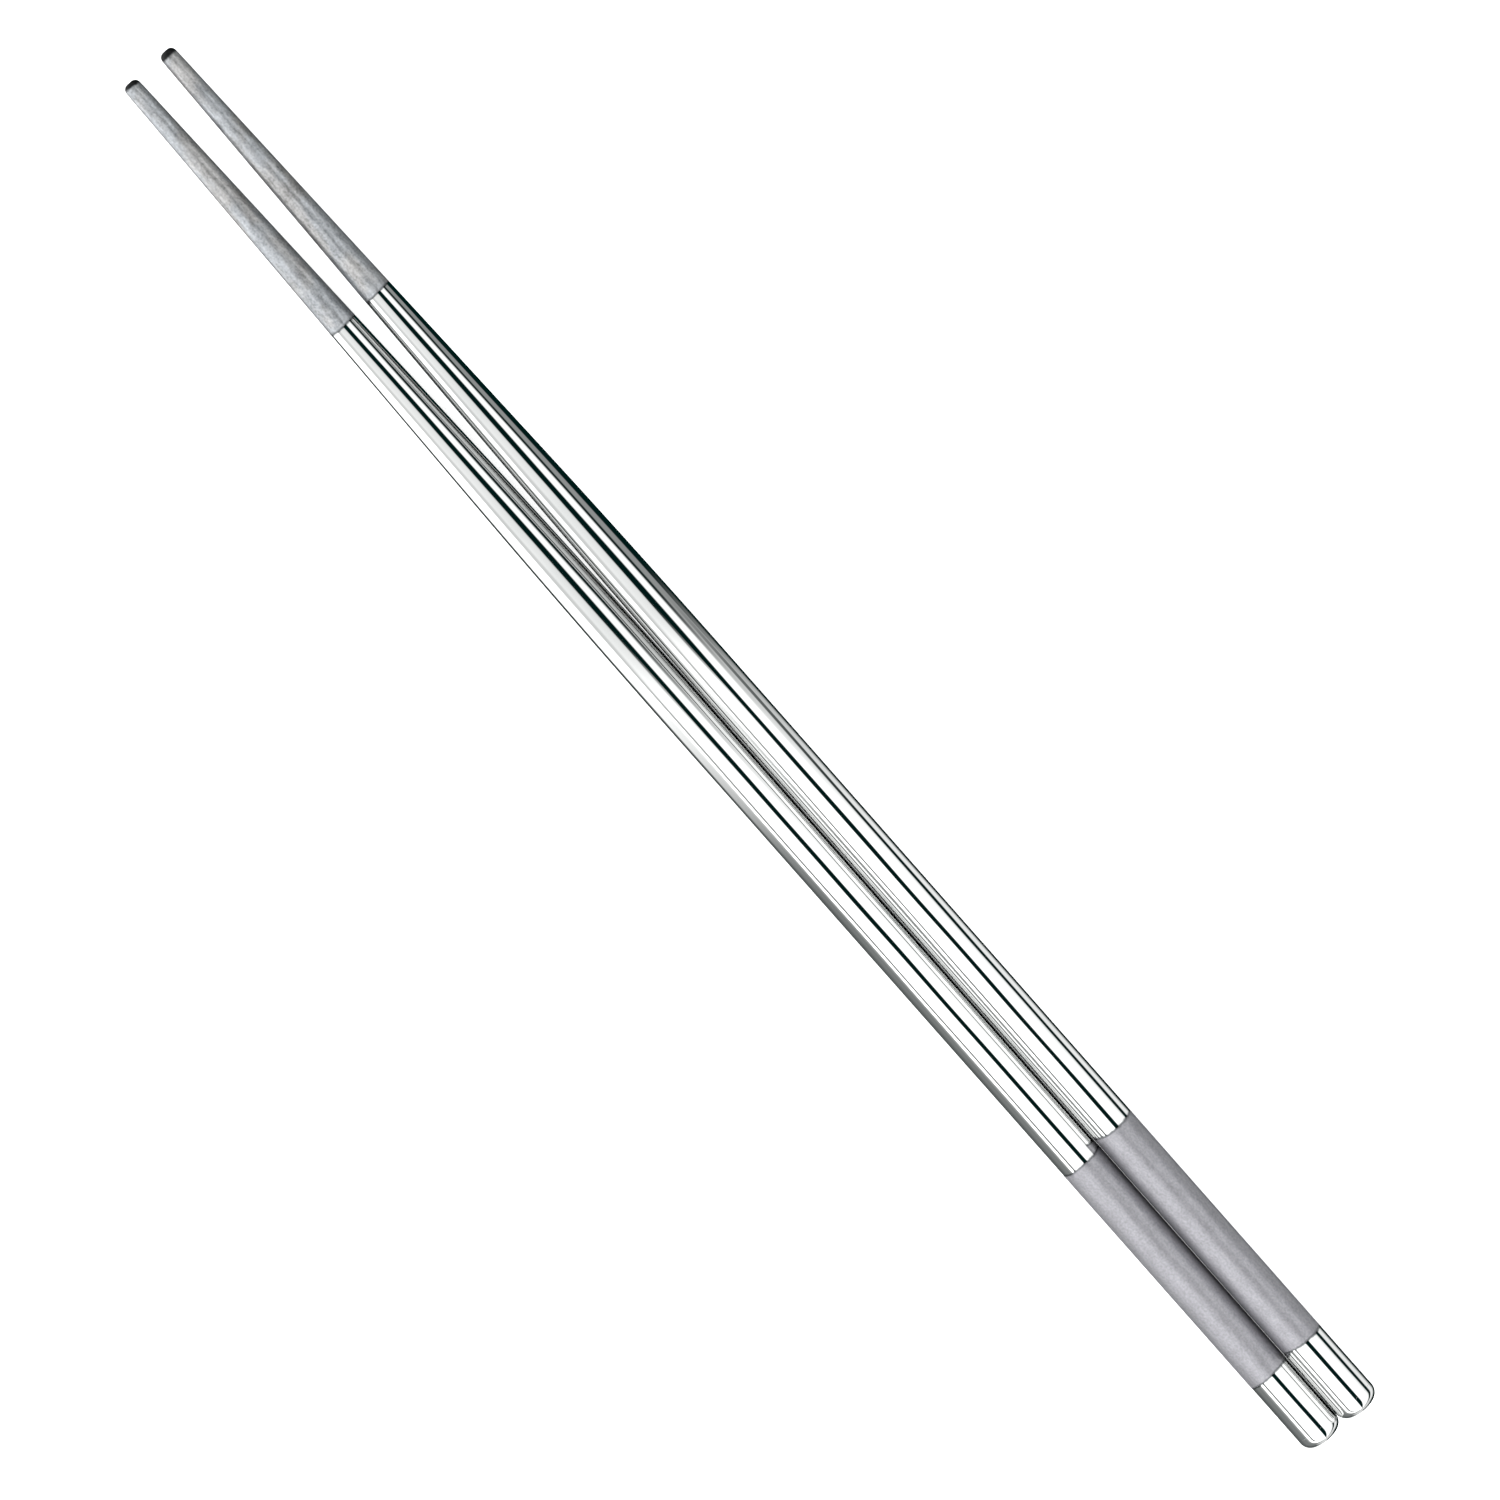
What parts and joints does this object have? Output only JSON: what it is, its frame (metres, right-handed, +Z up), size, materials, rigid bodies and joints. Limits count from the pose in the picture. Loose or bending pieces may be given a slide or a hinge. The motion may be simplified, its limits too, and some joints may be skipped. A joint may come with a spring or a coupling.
{
  "type": "chopsticks",
  "caption": "Pair of slim round hollow metal chopsticks with thin bead-blasted tips, mirror-polished shafts, blasted grip bands and rounded handle ends.",
  "frame": {"origin": "under the middle of the pair, on the surface that both sticks lie on", "axes": "+X along the sticks from the tips to the handle ends, +Y from stick b to stick a, +Z up"},
  "size_m": [0.23, 0.012, 0.006],
  "materials": {
    "polished_steel": "mirror-polished stainless steel",
    "blasted_steel": "bead-blasted matt stainless steel"
  },
  "bodies": {
    "stick_a": {"stick_a_tube": "polished_steel", "stick_a_tip_plug": "blasted_steel", "stick_a_end_cap": "polished_steel", "stick_a_tip_weld": "blasted_steel", "stick_a_end_weld": "polished_steel"},
    "stick_b": {"stick_b_tube": "polished_steel", "stick_b_tip_plug": "blasted_steel", "stick_b_end_cap": "polished_steel", "stick_b_tip_weld": "blasted_steel", "stick_b_end_weld": "polished_steel"}
  },
  "joints": [
    {"name": "tip_spread", "type": "hinge", "parent": "stick_a", "child": "stick_b", "pos_m": [0.115, 0, 0.003], "axis": [0, 0, 1], "range_deg": [0, 15]}
  ]
}
